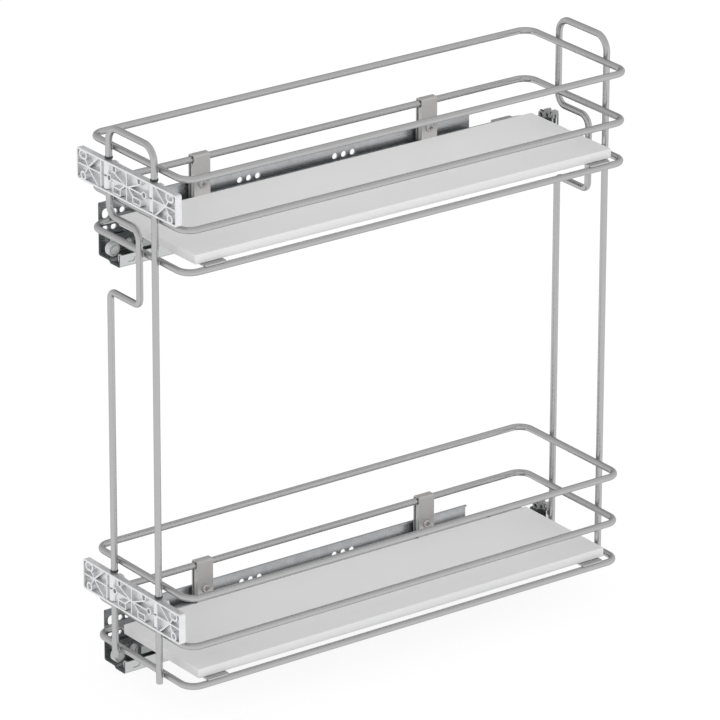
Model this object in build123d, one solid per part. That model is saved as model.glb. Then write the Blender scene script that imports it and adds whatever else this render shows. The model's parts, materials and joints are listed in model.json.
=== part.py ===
from build123d import *
import os

# Pull-out detergent rack: two wire baskets with board floors on one pair of wire
# frames, hung on two full-extension roller runners. All sizes are in millimetres.
# X runs out from the cabinet side, Y runs to the back of the cabinet, Z runs up.
# The origin lies on the cabinet side, in the upper rail's row of screw holes,
# halfway between the two groups that take the fixing screws.

os.makedirs("parts", exist_ok=True)

# Layout
far_wire_gap = 8.5          # cabinet side to the centre lines of the baskets' far wires
basket_y = 13.0             # middle of the baskets, back from the origin
screw_row_to_top_loop = 74.2
tier_drop = 360.0           # upper basket to lower basket
tiers = {"upper": 0.0, "lower": -tier_drop}

# Wires
wire = 5.7
basket_width = 134.0        # between the centre lines of a loop's long sides
basket_depth = 441.5        # between the centre lines of a loop's short sides
loop_corner_radius = 12.0
mid_drop = 42.7             # top loop down to the middle loop
base_drop = 78.3            # top loop down to the base loop
weld_gap = 0.05             # between two wires that are welded side by side

# Front and rear frames
leg_spacing = 64.0
handle_rise = 18.9          # handle bar above the upper top loop
handle_radius = 13.0
jog_reach = 41.8            # how far the inner leg steps sideways
jog_top_drop = 57.0         # upper end of the step, below the top loop
jog_bottom_drop = 122.0     # lower end of the step, below the top loop
jog_top_radius = 10.0
jog_bottom_radius = 6.5
leg_below_base = 6.8        # leg ends below the lower base loop
leg_end_chamfer = 0.6

# Boards and the tabs that carry them
board_depth = 418.0
board_thickness = 8.0
board_side_gap = 1.5        # board edge to the base loop's near wire
board_rail_gap = 2.35       # board edge to the drawer member
board_edge_radius = 0.7
tab_thickness = 1.5
tab_length = 21.0           # along the wire
tab_offset = 193.0          # middle of a tab from the middle of the basket
tab_overhang = 1.5          # past the wire's centre line
tab_overlap = 13.0          # how far a tab reaches under the board
tab_corner = 2.0
board_screw_inset = 7.0     # board screw in from the board's edge
board_screw_radius = 1.6
board_screw_grip = 6.0      # depth of the hole in the board
board_screw_tip = 1.0       # screw ends short of the hole's bottom
screw_clearance = 0.1       # radial, round a fastener's shank

# Hangers
hanger_width = 16.0
hanger_sheet = 1.2
hanger_fit = 0.05           # hanger to wire
hanger_bend = 0.6           # inside radius
hanger_offset = 115.0       # from the middle of the basket, front and rear
hanger_screw_drop = 21.4    # below the middle loop
hanger_screw_radius = 2.0
hanger_screw_end = 0.9      # thread past the back leaf
back_leaf_reach = 1.3       # back leaf below the base loop

# Door brackets
bracket_overhang = 0.15     # past the wires' outer edges, each side
bracket_height = 26.7
bracket_drop = 8.7          # top edge below the top loop
bracket_depth = 5.5
bracket_floor = 1.5
bracket_rim = 1.6
bracket_corner = 2.0
rib = 1.3
rib_recess = 0.5            # ribs lie this far behind the rim
groove_fit = 0.1            # leg groove round the leg
channel_wall = 1.5
channel_gap = 1.6           # between the two half-round covers over a leg
channel_end = 2.0           # cover ends short of the rim
door_screw_inset_x = 9.0    # door screws from the ends
door_screw_inset_z = 4.45   # door screws from the long edges
door_screw_radius = 2.3
door_slot_length = 8.0      # the upper two door screws sit in slots
boss_wall = 1.7
star_inset = 15.5           # crossing of the slanted ribs, from the ends
star_spread = 3.0           # slanted rib's outer end, from the leg cover
clip_x = 17.5               # horseshoe clips in the upper cells, from the middle
clip_inset = 4.4            # middle of a clip below the top edge
clip_width = 4.6            # between the centre lines of its sides
clip_wall = 1.2
clip_hole_radius = 1.1
pad_x = 14.0                # framed pads in the lower cells, from the middle
pad_inset = 5.0             # middle of a pad above the bottom edge
pad_length = 11.5
pad_height = 6.4
pad_wall = 1.2
pad_corner = 1.4
pad_slot_length = 6.0
pad_slot_width = 1.8
inner_rib_x = 2.0           # inner end of the slanted ribs in the middle cells

# Leg clamps behind the door brackets
clamp_width = 24.0
clamp_height = 17.0
clamp_thickness = 4.4
clamp_gap = 0.3             # clamp to bracket
clamp_screw_offset = 7.5    # from the leg
clamp_screw_radius = 1.9
clamp_screw_tip = 3.0       # short of the bracket's front
lug_start = 1.5             # lug's first edge, from the leg
lug_drop = 1.8              # below the bracket's top edge
lug_slope = 5.0

# Pan head screws
head_ratio = 1.85           # head radius over shank radius
head_height_ratio = 0.55    # head height over head radius
recess_width = 0.9
recess_depth_ratio = 0.6    # recess depth over head height
recess_length_ratio = 1.1   # recess length over head radius
head_edge_ratio = 0.6       # round edge over head height

# Cabinet rail
rail_sheet = 1.4
rail_front_y = -195.5
rail_length = 448.5
rail_tall_length = 373.5    # part of the rail with the full-height web
rail_top_drop = 63.2        # web's top edge, below the basket's top loop
rail_low_drop = 87.5        # web's top edge behind the full-height part
rail_floor_drop = 109.0     # underside of the trough at the web
rail_lip = 3.2
rail_bend = 0.4             # inside radius
trough_width = 30.5
trough_step = 2.0           # floor steps down towards the basket
trough_step_x = 15.0
trough_wall = 10.4
screw_spacing = 96.0        # three steps of the cabinet's 32 mm hole rows
hole_spacing = 9.0
hole_radius = 2.6
front_hole_y = -180.5
front_hole_spacing = 7.5
front_slot_y = -189.2
front_slot_height = 8.6
front_slot_radius = 3.4
low_row_drop = 12.6         # second row of front holes under the first
low_hole_y = -190.0
low_hole_spacing = 8.4
spare_hole_y = -133.0
wall_dimple_y = 7.0           # embossed recess in the trough wall, from the front
wall_dimple_length = 8.0
wall_dimple_height = 4.4
wall_dimple_depth = 0.6

# Rollers
roller_radius = 5.7
roller_width = 6.0
inner_roller_radius = 5.6   # drawer roller, inside the middle rail
pin_radius = 2.0
pin_fit = 0.05              # running clearance in the roller
pin_seat_fit = 0.02
pin_head_radius = 3.4
pin_head = 0.8
roller_side_gap = 0.5
roller_hub_radius = 3.6
roller_dish = 0.5
roller_edge = 0.6           # chamfer beside the tread
roller_rim = 0.7            # flat ring outside the dish
carry_gap = 0.05            # rail flange above the roller that carries it
roller_play = 0.2           # roller in its track, each way

# Runner members
track_sheet = 1.2
track_reach = 12.5          # track flange, from the wall
track_leg = 2.8
track_start = 22.0          # behind the front end of the cabinet rail
flange_gap = 0.3            # between flanges that pass each other
middle_sheet = 1.2
middle_web_x = 13.0
middle_left = 3.0
middle_right = 21.8
middle_start = 9.5
middle_end = 15.0           # short of the cabinet rail's rear end
nose_radius = 4.2           # rounded nose of the web that carries the front roller
nose_length = 12.0          # between the centres of the nose's ends
middle_front_roller = 7.9   # front roller's pin ahead of the member's front end
front_roller_spacing = 19.0
middle_rear_roller = 10.0
drawer_sheet = 1.2
drawer_web_x = 22.3
drawer_left = 14.4
drawer_right = 27.4
drawer_start = 18.5         # behind the front end of the cabinet rail
drawer_lip = 6.0
drawer_web_height = 12.5
drawer_end = 21.0
drawer_roller_inset = 12.0
cabinet_roller_inset = 14.5
stop_height = 2.6
stop_width = 5.0
travel = 440.0              # full extension

# Soft-close unit
damper_x = 1.5
damper_width = 7.0
damper_height = 7.0
damper_lift = 2.6           # above the middle rail's flange
damper_front_y = 100.0
damper_length = 132.0
damper_radius = 2.0
damper_slot_length = 74.0   # guide slot in the case's open side
damper_slot_height = 2.4
damper_slot_depth = 1.2
damper_slot_inset = 6.0     # behind the case's front end
damper_cap_length = 9.0     # thicker end cap
damper_cap_rise = 0.6
catch_length = 14.0
catch_inset = 0.5           # smaller than the case, all round
catch_slot = 3.6
catch_slot_length = 7.7
striker_sheet = 1.2
striker_front = 5.0         # arm in front of the pin
striker_back = 2.5          # arm behind and beside the pin
striker_corner = 1.5
striker_inset = 1.0         # arm ends short of the drawer member's web
striker_pin_radius = 1.5
striker_pin_height = 4.2

# Rear bracket and stop
rear_sheet = 1.4
rear_width = 25.5
rear_top_drop = 84.0
rear_ear_height = 19.0
rear_ear_top_drop = 73.0
rear_ear_depth = 7.0
rear_ear_corner = 2.0
stop_block_depth = 5.0
stop_block_width = 21.0
stop_block_top_drop = 82.0
stop_block_corner = 2.5
stop_ring_radius = 3.9
stop_ring_bore = 2.3
stop_ring_depth = 2.2
stop_ring_x = 9.5
stop_ring_rise = 2.4        # ring's centre above the block
stop_knob_x = 17.8
stop_knob_rise = 4.8
stop_knob_depth = 3.6
knob_hub_radius = 4.6
knob_bore_radius = 1.3
knob_lobes = 8
knob_lobe_radius = 1.3

# Cutters
past = 1.0                  # a cutter runs this far past a face

# Places that follow from the sizes above
wire_radius = wire / 2
far_wire_x = far_wire_gap
near_wire_x = far_wire_x + basket_width
wall_to_basket = far_wire_x + basket_width / 2
front_leg_y = basket_y - basket_depth / 2 - wire - weld_gap
rear_leg_y = basket_y + basket_depth / 2 + wire + weld_gap
inner_leg_x = wall_to_basket - leg_spacing / 2
outer_leg_x = wall_to_basket + leg_spacing / 2
board_near_x = near_wire_x - wire_radius - board_side_gap
board_far_x = drawer_right + board_rail_gap
bracket_width = basket_width + wire + 2 * bracket_overhang
door_screw_x = bracket_width / 2 - door_screw_inset_x
door_screw_z = bracket_height / 2 - door_screw_inset_z
star_x = bracket_width / 2 - star_inset
clip_z = bracket_height / 2 - clip_inset
pad_z = pad_inset - bracket_height / 2
rib_height = bracket_depth - bracket_floor - rib_recess
rail_rear_y = rail_front_y + rail_length

# Heights below the basket's top loop that the runner members share
floor_top_drop = rail_floor_drop - rail_sheet
track_under_drop = floor_top_drop - 2 * roller_radius - 2 * roller_play
track_top_drop = track_under_drop - track_sheet
middle_under_drop = track_top_drop - flange_gap
middle_top_drop = middle_under_drop - middle_sheet
drawer_under_drop = middle_top_drop - flange_gap - carry_gap
drawer_top_drop = drawer_under_drop - drawer_sheet
cabinet_roller_drop = middle_under_drop + carry_gap + roller_radius
track_roller_drop = floor_top_drop - roller_play - roller_radius
middle_roller_drop = drawer_under_drop + carry_gap + roller_radius
drawer_roller_drop = middle_under_drop + roller_play + inner_roller_radius
middle_channel_drop = drawer_roller_drop + inner_roller_radius + roller_play
middle_front_y = rail_front_y + middle_start
middle_rear_y = rail_rear_y - middle_end
front_roller_y = middle_front_y - middle_front_roller
second_roller_y = front_roller_y + front_roller_spacing
drawer_front_y = rail_front_y + drawer_start
drawer_rear_y = rail_rear_y - drawer_end
cabinet_roller_x = rail_sheet + roller_side_gap
middle_front_roller_x = middle_web_x + middle_sheet + roller_side_gap
middle_rear_roller_x = middle_web_x - roller_side_gap - roller_width
drawer_roller_x = drawer_web_x - roller_side_gap - roller_width


def top_z(tier):
    """Height of a tier's top loop."""
    return screw_row_to_top_loop + tiers[tier]


def facing_front(x, y, z):
    """Plane with x across the rack, y up and its normal towards the user."""
    return Plane(origin=(x, y, z), x_dir=(1, 0, 0), z_dir=(0, -1, 0))


def facing_basket(x, y, z):
    """Plane with x along the rail, y up and its normal away from the cabinet side."""
    return Plane(origin=(x, y, z), x_dir=(0, 1, 0), z_dir=(1, 0, 0))


def block(x_range, y_range, z_range):
    """Box between two corners, each range given as low and high."""
    low = Vector(x_range[0], y_range[0], z_range[0])
    size = Vector(x_range[1], y_range[1], z_range[1]) - low
    return Pos(low) * Box(*size, align=(Align.MIN, Align.MIN, Align.MIN))


def folded_sheet(points, sheet, bend, start_y, end_y):
    """Sheet metal bent along the x and z points of its middle line; bend is the inside radius."""
    middle_line = FilletPolyline(*points, radius=bend + sheet / 2)
    section = trace(middle_line, line_width=sheet)
    return extrude(facing_front(0, end_y, 0) * section, end_y - start_y)


def rolled_profile(points, start_y, end_y):
    """Profile along Y from the x and z corners of its section."""
    section = make_face(Polyline(*points, close=True))
    return extrude(facing_front(0, end_y, 0) * section, end_y - start_y)


def round_rod(path):
    """Wire bent along a path."""
    start = Plane(origin=path @ 0, z_dir=path % 0)
    return sweep(start * Circle(wire_radius), path=path)


def pan_head_screw(radius, length):
    """Screw along -Z with the underside of its head at the origin and a cross recess."""
    head_radius = radius * head_ratio
    head_height = head_radius * head_height_ratio
    head = Cylinder(head_radius, head_height, align=(Align.CENTER, Align.CENTER, Align.MIN))
    head = fillet(head.edges().group_by(Axis.Z)[-1], head_height * head_edge_ratio)
    shank = Cylinder(radius, length, align=(Align.CENTER, Align.CENTER, Align.MAX))
    recess_depth = head_height * recess_depth_ratio
    arm_length = head_radius * recess_length_ratio
    arm = Box(arm_length, recess_width, recess_depth, align=(Align.CENTER, Align.CENTER, Align.MAX))
    recess = Pos(0, 0, head_height) * (arm + Rot(0, 0, 90) * arm)
    return head + shank - recess


# Wire baskets and frames

def wire_loop(z):
    """One closed rectangular loop of a basket."""
    outline = RectangleRounded(basket_width, basket_depth, loop_corner_radius)
    return round_rod((Pos(wall_to_basket, basket_y, z) * outline).wire())


def leg_frame(y):
    """Inverted U of wire whose inner leg steps sideways beside the upper runner."""
    upper_z = top_z("upper")
    handle_z = upper_z + handle_rise
    end_z = top_z("lower") - base_drop - leg_below_base
    step_top_z = upper_z - jog_top_drop
    step_bottom_z = upper_z - jog_bottom_drop
    step_x = inner_leg_x + jog_reach
    path = FilletPolyline(
        (inner_leg_x, y, end_z),
        (inner_leg_x, y, step_bottom_z),
        (step_x, y, step_bottom_z),
        (step_x, y, step_top_z),
        (inner_leg_x, y, step_top_z),
        (inner_leg_x, y, handle_z),
        (outer_leg_x, y, handle_z),
        (outer_leg_x, y, end_z),
        radius=[jog_bottom_radius] * 2 + [jog_top_radius] * 2 + [handle_radius] * 2,
    )
    frame = round_rod(path)
    return chamfer(frame.edges().group_by(Axis.Z)[0], leg_end_chamfer)


# Boards

def tab_places():
    """Middle of each board tab along Y, with the side of the basket it sits on."""
    return [(basket_y + end * tab_offset, side) for end in (-1, 1) for side in (-1, 1)]


def board_screw_x(side):
    """Board screw's place across the basket, on the far (-1) or near (1) side."""
    return board_near_x - board_screw_inset if side > 0 else board_far_x + board_screw_inset


def tab_z(tier):
    """Underside of the board tabs, on top of the base loop."""
    return top_z(tier) - base_drop + wire_radius


def board(tier):
    """Coated board with screw holes in its underside."""
    low = tab_z(tier) + tab_thickness
    y_range = (basket_y - board_depth / 2, basket_y + board_depth / 2)
    panel = block((board_far_x, board_near_x), y_range, (low, low + board_thickness))
    panel = fillet(panel.edges(), board_edge_radius)
    hole = Cylinder(board_screw_radius + screw_clearance, 2 * board_screw_grip)
    for y, side in tab_places():
        panel -= Pos(board_screw_x(side), y, low) * hole
    return panel


def board_tabs(tier):
    """Four sheet tabs welded on top of the base loop, two on each long side."""
    tabs = []
    for y, side in tab_places():
        if side > 0:
            ends = (board_near_x - tab_overlap, near_wire_x + tab_overhang)
        else:
            ends = (far_wire_x - tab_overhang, board_far_x + tab_overlap)
        middle = sum(ends) / 2
        outline = RectangleRounded(ends[1] - ends[0], tab_length, tab_corner)
        tab = Pos(middle, y, tab_z(tier)) * extrude(outline, tab_thickness)
        hole = Cylinder(board_screw_radius + screw_clearance, 2 * (tab_thickness + past))
        tabs.append(tab - Pos(board_screw_x(side), y, tab_z(tier)) * hole)
    return Compound(tabs)


def board_screws():
    """Screws that hold both boards to their tabs from below."""
    length = tab_thickness + board_screw_grip - board_screw_tip
    screw = Rot(180, 0, 0) * pan_head_screw(board_screw_radius, length)
    places = [(board_screw_x(side), y, tab_z(tier)) for tier in tiers for y, side in tab_places()]
    return Compound([Pos(*place) * screw for place in places])


# Hangers

def hanger(tier, end):
    """Strip folded over the far wires, its foot welded to the drawer member."""
    half_gap = wire_radius + hanger_fit + hanger_sheet / 2
    crown = top_z(tier) - mid_drop + half_gap
    back_z = top_z(tier) - base_drop - wire_radius - back_leaf_reach
    foot_z = top_z(tier) - drawer_top_drop + hanger_sheet / 2
    foot_x = drawer_web_x + drawer_sheet
    middle_y = basket_y + end * hanger_offset
    points = [
        (far_wire_x - half_gap, back_z),
        (far_wire_x - half_gap, crown),
        (far_wire_x + half_gap, crown),
        (far_wire_x + half_gap, foot_z),
        (foot_x, foot_z),
    ]
    start_y = middle_y - hanger_width / 2
    strip = folded_sheet(points, hanger_sheet, hanger_bend, start_y, start_y + hanger_width)
    screw_z = top_z(tier) - mid_drop - hanger_screw_drop
    hole = facing_basket(0, middle_y, screw_z) * Circle(hanger_screw_radius + screw_clearance)
    return strip - extrude(hole, far_wire_x + 2 * half_gap)


def hanger_screws():
    """Cross-head screws that draw the two leaves of each hanger together."""
    head_x = far_wire_x + wire_radius + hanger_fit + hanger_sheet
    length = wire + 2 * hanger_fit + 2 * hanger_sheet + hanger_screw_end
    screw = pan_head_screw(hanger_screw_radius, length)
    screws = []
    for tier in tiers:
        for end in (-1, 1):
            z = top_z(tier) - mid_drop - hanger_screw_drop
            place = facing_basket(head_x, basket_y + end * hanger_offset, z)
            screws.append(place.location * screw)
    return Compound(screws)


# Door brackets

def bracket_plane(tier):
    """Plane of the bracket's back, at the centre lines of the front legs."""
    middle_z = top_z(tier) - bracket_drop - bracket_height / 2
    return facing_front(wall_to_basket, front_leg_y, middle_z)


def stiffening_ribs(side):
    """Ribs of one half of the bracket, drawn in the bracket's own plane."""
    top = bracket_height / 2 - bracket_rim / 2
    wall_x = bracket_width / 2 - bracket_rim / 2
    channel_x = leg_spacing / 2 + wire_radius + groove_fit + channel_wall
    clip_foot = clip_z - clip_width / 2
    pad_top = pad_z + pad_height / 2 - pad_wall / 2
    lines = [
        Line((side * channel_x, 0), (side * wall_x, 0)),
        Line((0, 0), (side * (leg_spacing / 2 - wire), 0)),
        Line((side * channel_x, -top), (side * channel_x, top)),
        Line((side * star_x, 0), (side * door_screw_x, door_screw_z)),
        Line((side * star_x, 0), (side * door_screw_x, -door_screw_z)),
        Line((side * star_x, 0), (side * (channel_x + star_spread), top)),
        Line((side * star_x, 0), (side * (channel_x + star_spread), -top)),
        Line((side * clip_x, clip_foot), (side * inner_rib_x, 0)),
        Line((side * (pad_x - pad_length / 2 + pad_corner), pad_top), (side * inner_rib_x, 0)),
    ]
    ribs = [extrude(trace(line, line_width=rib), rib_height) for line in lines]
    return Pos(0, 0, bracket_floor) * (Part() + ribs)


def cell_details(side):
    """Horseshoe clip and framed pad of one half of the bracket."""
    half = clip_width / 2
    corners = [(-half, half), (-half, -half), (half, -half), (half, half)]
    shoe = FilletPolyline(*corners, radius=half - clip_wall / 4)
    clip = Pos(side * clip_x, clip_z, 0) * extrude(trace(shoe, line_width=clip_wall), rib_height)
    outline = RectangleRounded(pad_length, pad_height, pad_corner)
    inside = RectangleRounded(pad_length - 2 * pad_wall, pad_height - 2 * pad_wall, pad_corner / 2)
    pad = Pos(side * pad_x, pad_z, 0) * extrude(outline - inside, rib_height)
    return Pos(0, 0, bracket_floor) * (clip + pad)


def cell_holes(side):
    """Cutters through the bracket's floor inside one clip and one pad."""
    reach = bracket_floor + past
    hole = Pos(side * clip_x, clip_z, 0) * Cylinder(clip_hole_radius, 2 * reach)
    slot = extrude(SlotOverall(pad_slot_length, pad_slot_width), reach, both=True)
    return [hole, Pos(side * pad_x, pad_z, 0) * slot]


def leg_cover(side):
    """Half-round covers over one leg, in two lengths."""
    radius = wire_radius + groove_fit + channel_wall
    span = bracket_height - 2 * channel_end
    tube = Pos(side * leg_spacing / 2, 0, 0) * Rot(90, 0, 0) * Cylinder(radius, span)
    half = tube & Pos(0, 0, bracket_depth / 2) * Box(bracket_width, bracket_height, bracket_depth)
    return half - Pos(0, 0, bracket_depth) * Box(bracket_width, channel_gap, bracket_depth)


def door_bracket(tier):
    """Ribbed casting that takes the door's screws and seats on both front legs."""
    blank = extrude(RectangleRounded(bracket_width, bracket_height, bracket_corner), bracket_depth)
    inside = (bracket_width - 2 * bracket_rim, bracket_height - 2 * bracket_rim)
    pocket = RectangleRounded(*inside, bracket_corner / 2)
    body = blank - Pos(0, 0, bracket_floor) * extrude(pocket, bracket_depth)
    height = bracket_depth - bracket_floor
    through = 2 * (bracket_depth + past)
    centre_rib = Line((0, -bracket_height / 2 + bracket_rim), (0, bracket_height / 2 - bracket_rim))
    body += Pos(0, 0, bracket_floor) * extrude(trace(centre_rib, line_width=rib), rib_height)
    clamp_boss = extrude(Circle(clamp_screw_radius + rib), rib_height)
    slot = SlotOverall(door_slot_length, 2 * door_screw_radius)
    slot_boss = SlotOverall(door_slot_length + 2 * boss_wall, 2 * (door_screw_radius + boss_wall))
    holes = []
    for side in (-1, 1):
        body += stiffening_ribs(side) + cell_details(side) + leg_cover(side)
        clamp_x = side * (leg_spacing / 2 - clamp_screw_offset)
        body += Pos(clamp_x, 0, bracket_floor) * clamp_boss
        holes.append(Pos(clamp_x, 0, 0) * Cylinder(clamp_screw_radius + screw_clearance, through))
        groove = Rot(90, 0, 0) * Cylinder(wire_radius + groove_fit, bracket_height + 2 * past)
        holes.append(Pos(side * leg_spacing / 2, 0, 0) * groove)
        body += Pos(side * door_screw_x, door_screw_z, bracket_floor) * extrude(slot_boss, height)
        holes.append(Pos(side * door_screw_x, door_screw_z, 0) * extrude(slot, through / 2, both=True))
        round_boss = extrude(Circle(door_screw_radius + boss_wall), height)
        body += Pos(side * door_screw_x, -door_screw_z, bracket_floor) * round_boss
        holes.append(Pos(side * door_screw_x, -door_screw_z, 0) * Cylinder(door_screw_radius, through))
        holes += cell_holes(side)
    body &= blank
    return bracket_plane(tier).location * (body - holes)


def leg_clamps(tier):
    """Blocks that hold the bracket to each leg from behind, each with a lug."""
    clamps = []
    for side in (-1, 1):
        middle = side * leg_spacing / 2
        lug_top = bracket_height / 2 - lug_drop
        lug_right = middle + clamp_width / 2
        outline = Polyline(
            (middle - clamp_width / 2, -clamp_height / 2),
            (lug_right, -clamp_height / 2),
            (lug_right, lug_top - lug_slope),
            (lug_right - lug_slope, lug_top),
            (middle + lug_start, lug_top),
            (middle + lug_start, clamp_height / 2),
            (middle - clamp_width / 2, clamp_height / 2),
            close=True,
        )
        body = Pos(0, 0, -clamp_gap - clamp_thickness) * extrude(make_face(outline), clamp_thickness)
        groove = Cylinder(wire_radius + groove_fit, 2 * (lug_top + past))
        body -= Pos(middle, 0, 0) * Rot(90, 0, 0) * groove
        screw_x = middle - side * clamp_screw_offset
        hole = Cylinder(clamp_screw_radius + screw_clearance, 2 * (clamp_gap + clamp_thickness + past))
        body -= Pos(screw_x, 0, 0) * hole
        clamps.append(bracket_plane(tier).location * body)
    return Compound(clamps)


def clamp_screws():
    """Screws that pull the clamps to both brackets."""
    length = clamp_thickness + clamp_gap + bracket_depth - clamp_screw_tip
    screw = Rot(180, 0, 0) * pan_head_screw(clamp_screw_radius, length)
    seat = -clamp_gap - clamp_thickness
    screws = []
    for tier in tiers:
        for side in (-1, 1):
            x = side * (leg_spacing / 2 - clamp_screw_offset)
            screws.append(bracket_plane(tier).location * Pos(x, 0, seat) * screw)
    return Compound(screws)


# Cabinet members, fixed to the cabinet side

def rail_holes(top):
    """Cutters for the holes in a cabinet rail's web, as (y, z, radius)."""
    row = top - screw_row_to_top_loop
    holes = []
    for group in (-1, 1):
        for step in (-1, 0, 1):
            holes.append((group * screw_spacing / 2 + step * hole_spacing, row, hole_radius))
    for step in (0, 1):
        holes.append((front_hole_y + step * front_hole_spacing, row, hole_radius))
        holes.append((low_hole_y + step * low_hole_spacing, row - low_row_drop, hole_radius))
    holes.append((spare_hole_y, row, hole_radius))
    return holes


def cabinet_rail(tier):
    """Rolled rail: web against the cabinet side, top lip, stepped trough and low wall."""
    top = top_z(tier)
    half = rail_sheet / 2
    floor_z = top - rail_floor_drop + half
    low_z = floor_z - trough_step
    wall_x = trough_width - half
    web_and_trough = [
        (half, floor_z),
        (trough_step_x, floor_z),
        (trough_step_x + trough_step, low_z),
        (wall_x, low_z),
        (wall_x, low_z - half + trough_wall),
    ]
    tall = [(rail_lip, top - rail_top_drop - half), (half, top - rail_top_drop - half)] + web_and_trough
    low = [(half, top - rail_low_drop)] + web_and_trough
    tall_end = rail_front_y + rail_tall_length
    rail = folded_sheet(tall, rail_sheet, rail_bend, rail_front_y, tall_end)
    rail += folded_sheet(low, rail_sheet, rail_bend, tall_end, rail_rear_y)
    for y, z, radius in rail_holes(top):
        rail -= extrude(facing_basket(0, y, z) * Circle(radius), rail_sheet + past, both=True)
    slot_z = top - screw_row_to_top_loop
    slot = Rot(0, 0, 90) * SlotOverall(front_slot_height, 2 * front_slot_radius)
    rail -= extrude(facing_basket(0, front_slot_y, slot_z) * slot, rail_sheet + past, both=True)
    pin_place = facing_basket(0, rail_front_y + cabinet_roller_inset, top - cabinet_roller_drop)
    rail -= extrude(pin_place * Circle(pin_radius + pin_seat_fit), rail_sheet + past, both=True)
    dimple_y = rail_front_y + wall_dimple_y + wall_dimple_length / 2
    dimple_z = low_z - half + trough_wall / 2 + half
    dimple = SlotOverall(wall_dimple_length, wall_dimple_height)
    rail -= extrude(facing_basket(trough_width, dimple_y, dimple_z) * dimple, wall_dimple_depth, both=True)
    stop_y = middle_rear_y - middle_rear_roller - travel / 2 - roller_radius - flange_gap
    stop_x = middle_rear_roller_x + roller_width / 2
    stop = block(
        (stop_x - stop_width / 2, stop_x + stop_width / 2),
        (stop_y - rail_sheet, stop_y),
        (floor_z, floor_z + half + stop_height),
    )
    return rail + stop


def cabinet_track(tier):
    """Angle spot-welded to the web, the upper track for the middle member's roller."""
    top = top_z(tier)
    start_y = rail_front_y + track_start
    flange = block((rail_sheet, track_reach), (start_y, rail_rear_y - middle_end),
                   (top - track_under_drop, top - track_top_drop))
    leg = block((rail_sheet, rail_sheet + track_sheet), (start_y, rail_rear_y - middle_end),
                (top - track_top_drop, top - track_top_drop + track_leg))
    return flange + leg


def roller(radius, x, y, z):
    """Nylon roller on an axis along X, with a dished face and a raised hub."""
    half = roller_width / 2
    edge = radius - roller_edge
    face_side = [
        (half - roller_edge, radius),
        (half, edge),
        (half, edge - roller_rim),
        (half - roller_dish, edge - roller_rim),
        (half - roller_dish, roller_hub_radius),
        (half, roller_hub_radius),
        (half, pin_radius + pin_fit),
    ]
    other_side = [(-across, out) for across, out in reversed(face_side)]
    body = revolve(make_face(Polyline(*face_side, *other_side, close=True)), Axis.X)
    return Pos(x + half, y, z) * body


def roller_pin(x, y, z, seat, side):
    """Rivet through a roller and its member; side is the way its head points along X."""
    inside = roller_width + 2 * roller_side_gap
    shank = Cylinder(pin_radius, seat + inside, align=(Align.CENTER, Align.CENTER, Align.MIN))
    head = Cylinder(pin_head_radius, pin_head, align=(Align.CENTER, Align.CENTER, Align.MIN))
    pin = shank + Pos(0, 0, seat + inside - roller_side_gap / 2) * head
    return Pos(x, y, z) * Rot(0, 90 * side, 0) * pin


def pin_holes(x, places, sheet):
    """Cutters for the rivets of a member's web, at y and z places."""
    circle = Circle(pin_radius + pin_seat_fit)
    return [extrude(facing_basket(x, y, z) * circle, sheet + past, both=True) for y, z in places]


def middle_rail(tier):
    """Middle member: flange over both tracks, web with a nose, and a channel for the drawer roller."""
    top = top_z(tier)
    high, under = top - middle_top_drop, top - middle_under_drop
    low = top - middle_channel_drop
    web_right = middle_web_x + middle_sheet
    section = [
        (middle_left, high),
        (middle_right, high),
        (middle_right, under),
        (web_right, under),
        (web_right, low),
        (middle_right, low),
        (middle_right, low - middle_sheet),
        (middle_web_x, low - middle_sheet),
        (middle_web_x, under),
        (middle_left, under),
    ]
    body = rolled_profile(section, middle_front_y, middle_rear_y)
    low_corner = body.edges().filter_by(Axis.Y).group_by(Axis.Z)[0].sort_by(Axis.X)[0]
    body = fillet(low_corner, middle_sheet - rail_bend)
    relief_end = second_roller_y + roller_radius + 2 * flange_gap
    body -= block((web_right, middle_right + past), (middle_front_y - past, relief_end),
                  (low - middle_sheet - past, high + past))
    pin_z = top - middle_roller_drop
    nose_place = facing_basket(middle_web_x, front_roller_y + nose_length / 2, pin_z)
    body += extrude(nose_place * SlotCenterToCenter(nose_length, 2 * nose_radius), middle_sheet)
    places = [
        (front_roller_y, pin_z),
        (second_roller_y, pin_z),
        (middle_rear_y - middle_rear_roller, top - track_roller_drop),
    ]
    return body - pin_holes(middle_web_x, places, middle_sheet)


def drawer_rail(tier):
    """Drawer member: carried flange with an outer lip, and a web for the rear roller."""
    top = top_z(tier)
    high, under = top - drawer_top_drop, top - drawer_under_drop
    web_right = drawer_web_x + drawer_sheet
    lip_left = drawer_right - drawer_sheet
    section = [
        (drawer_left, high),
        (drawer_right, high),
        (drawer_right, under - drawer_lip),
        (lip_left, under - drawer_lip),
        (lip_left, under),
        (web_right, under),
        (web_right, under - drawer_web_height),
        (drawer_web_x, under - drawer_web_height),
        (drawer_web_x, under),
        (drawer_left, under),
    ]
    body = rolled_profile(section, drawer_front_y, drawer_rear_y)
    outer_corner = body.edges().filter_by(Axis.Y).group_by(Axis.Z)[-1].sort_by(Axis.X)[-1]
    body = fillet(outer_corner, drawer_sheet - rail_bend)
    place = (drawer_rear_y - drawer_roller_inset, top - drawer_roller_drop)
    return body - pin_holes(drawer_web_x, [place], drawer_sheet)


def cabinet_roller(tier):
    """Front roller of the cabinet rail, under the middle member's flange."""
    z = top_z(tier) - cabinet_roller_drop
    return roller(roller_radius, cabinet_roller_x, rail_front_y + cabinet_roller_inset, z)


def middle_front_wheel(tier, y):
    """One of the middle member's two front rollers, under the drawer member's flange."""
    z = top_z(tier) - middle_roller_drop
    return roller(roller_radius, middle_front_roller_x, y, z)


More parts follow.
